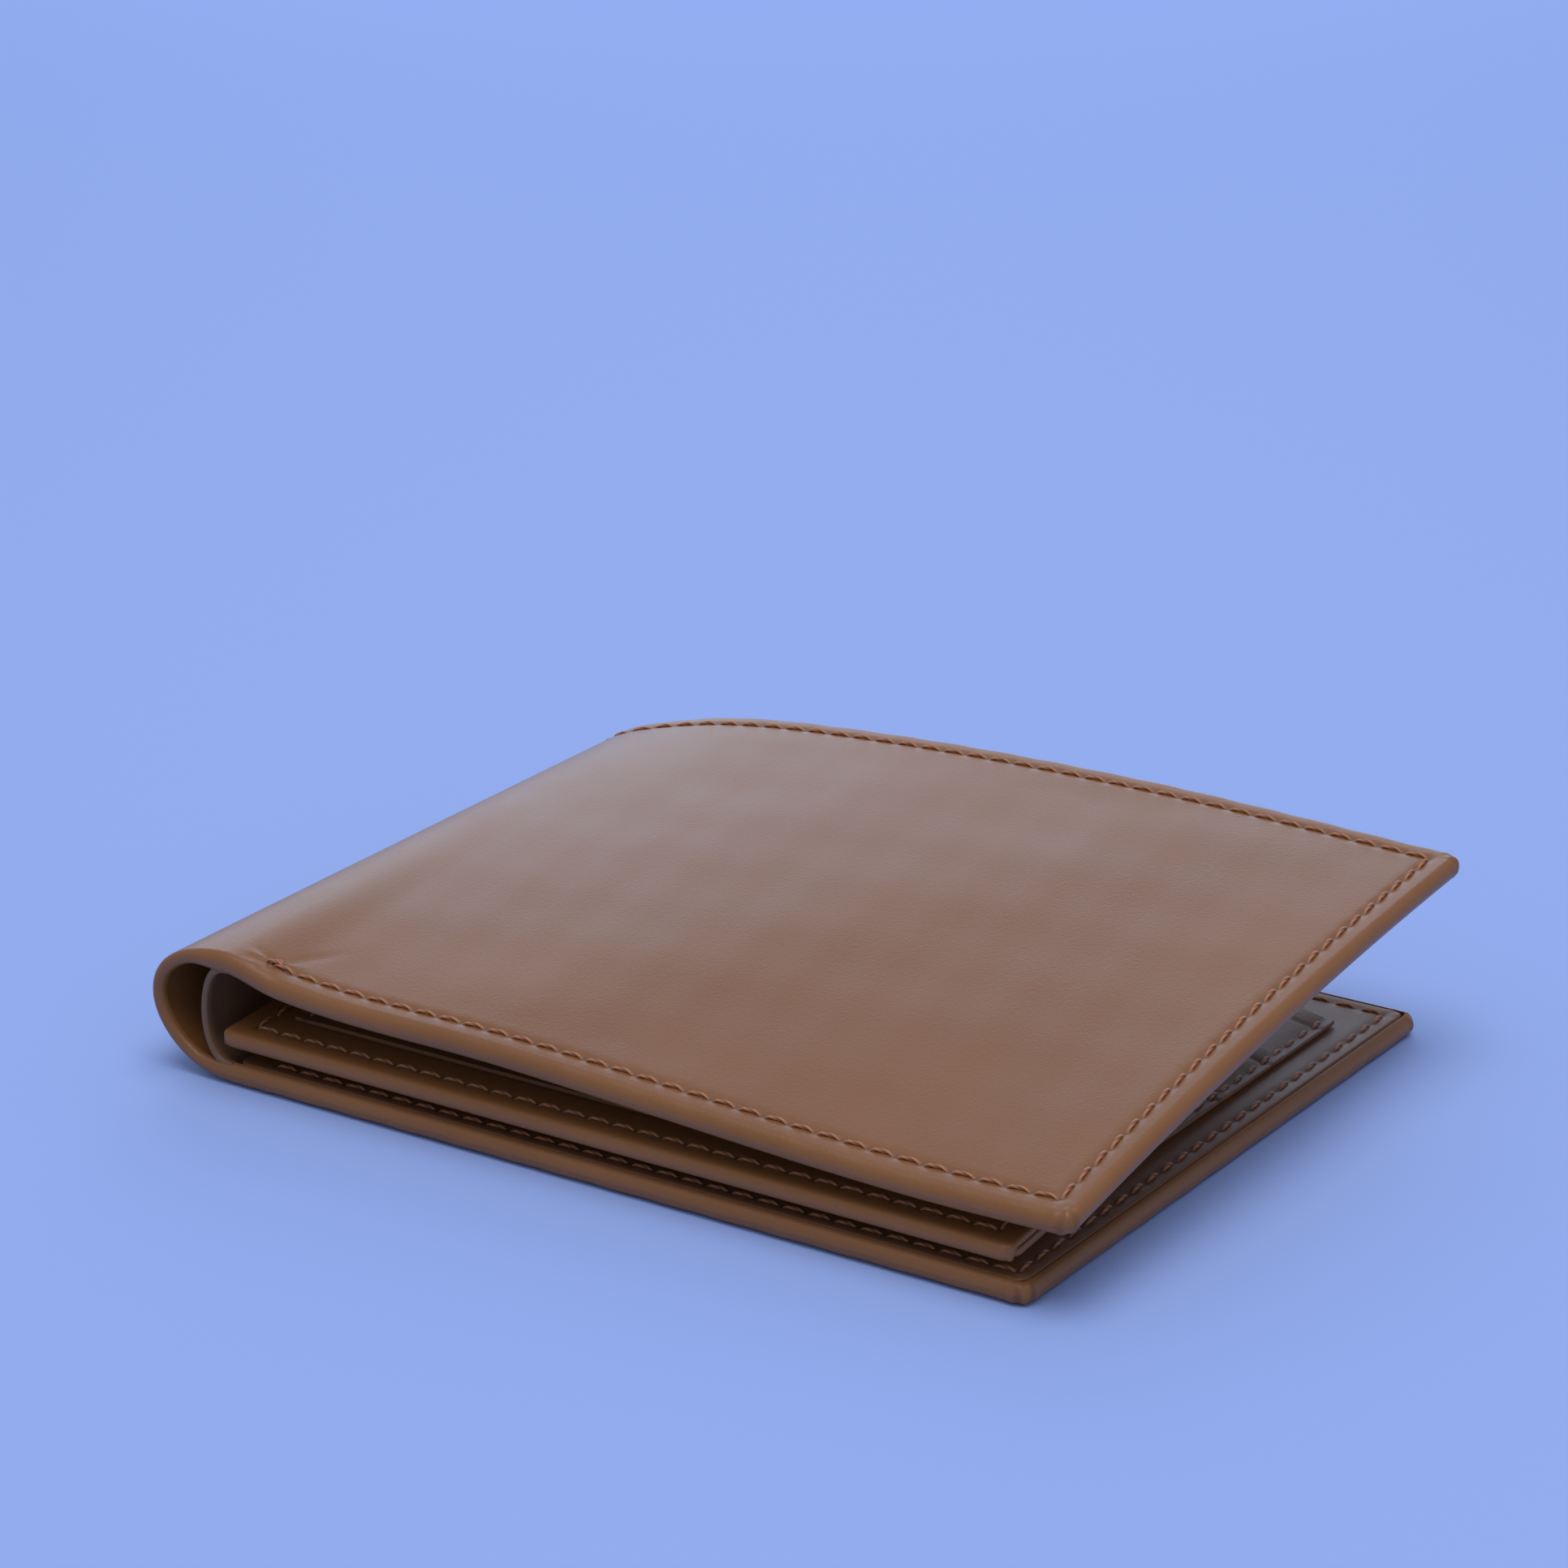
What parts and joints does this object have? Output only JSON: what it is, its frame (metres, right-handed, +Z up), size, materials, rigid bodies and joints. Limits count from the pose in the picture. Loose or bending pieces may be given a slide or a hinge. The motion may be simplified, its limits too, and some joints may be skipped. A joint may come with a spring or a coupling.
{
  "type": "bifold wallet",
  "caption": "Leather bifold wallet that folds at a soft spine, with card slots in both halves, a bill compartment behind them and a hinged flip flap with a clear window.",
  "frame": {"origin": "middle of the underside of the closed wallet's box, on the surface that it lies on", "axes": "+Z up from the back cover to the front cover, +X from the spine to the open edge, +Y from the closed edge to the bill opening"},
  "size_m": [0.119, 0.0866, 0.0236],
  "materials": {
    "outer_leather": "smooth finished leather, semi-gloss",
    "card_leather": "smooth finished leather, satin",
    "divider_leather": "thin split leather, matt",
    "thread": "twisted sewing thread",
    "window_film": "clear soft film"
  },
  "bodies": {
    "back_half": {"back_cover": "outer_leather", "back_seam_thread": "thread", "back_divider": "divider_leather", "back_card_panel": "card_leather", "back_card_slot_1": "card_leather", "back_card_slot_2": "card_leather", "back_card_slot_3": "card_leather", "back_card_slot_4": "card_leather"},
    "spine_1": {"spine_cover_1": "outer_leather", "spine_divider_1": "divider_leather", "spine_hem_thread_1": "thread"},
    "spine_2": {"spine_cover_2": "outer_leather", "spine_divider_2": "divider_leather", "spine_hem_thread_2": "thread"},
    "spine_3": {"spine_cover_3": "outer_leather", "spine_divider_3": "divider_leather", "spine_hem_thread_3": "thread"},
    "front_half": {"front_cover": "outer_leather", "front_seam_thread": "thread", "front_divider": "divider_leather", "front_card_panel": "card_leather", "front_card_slot_1": "card_leather", "front_card_slot_2": "card_leather", "front_card_slot_3": "card_leather", "front_card_slot_4": "card_leather", "flap_hinge_strip": "card_leather"},
    "flap": {"flap_upper_leather": "outer_leather", "flap_lower_leather": "outer_leather", "flap_window_film": "window_film", "flap_card_slot_1": "card_leather", "flap_card_slot_2": "card_leather", "flap_seam_thread": "thread"}
  },
  "joints": [
    {"name": "fold", "type": "hinge", "parent": "back_half", "child": "spine_1", "pos_m": [-0.05209, 0, 0.0006], "axis": [0, -1, 0], "range_deg": [0, 40]},
    {"name": "fold_2", "type": "hinge", "parent": "spine_1", "child": "spine_2", "pos_m": [-0.05851, 0, 0.00555], "axis": [0, -1, 0], "range_deg": [0, 40]},
    {"name": "fold_3", "type": "hinge", "parent": "spine_2", "child": "spine_3", "pos_m": [-0.05899, 0, 0.01142], "axis": [0, -1, 0], "range_deg": [0, 40]},
    {"name": "fold_4", "type": "hinge", "parent": "spine_3", "child": "front_half", "pos_m": [-0.0559, 0, 0.01467], "axis": [0, -1, 0], "range_deg": [0, 40]},
    {"name": "flap_lift", "type": "hinge", "parent": "front_half", "child": "flap", "pos_m": [0.0012, 0.0382, 0.01422], "axis": [0.9987, 0, 0.0501], "range_deg": [0, 30]}
  ],
  "couplings": [
    {"joint": "fold_2", "follows": "fold", "ratio": 1},
    {"joint": "fold_3", "follows": "fold", "ratio": 1},
    {"joint": "fold_4", "follows": "fold", "ratio": 1},
    {"joint": "flap_lift", "follows": "fold", "ratio": 0.65}
  ]
}
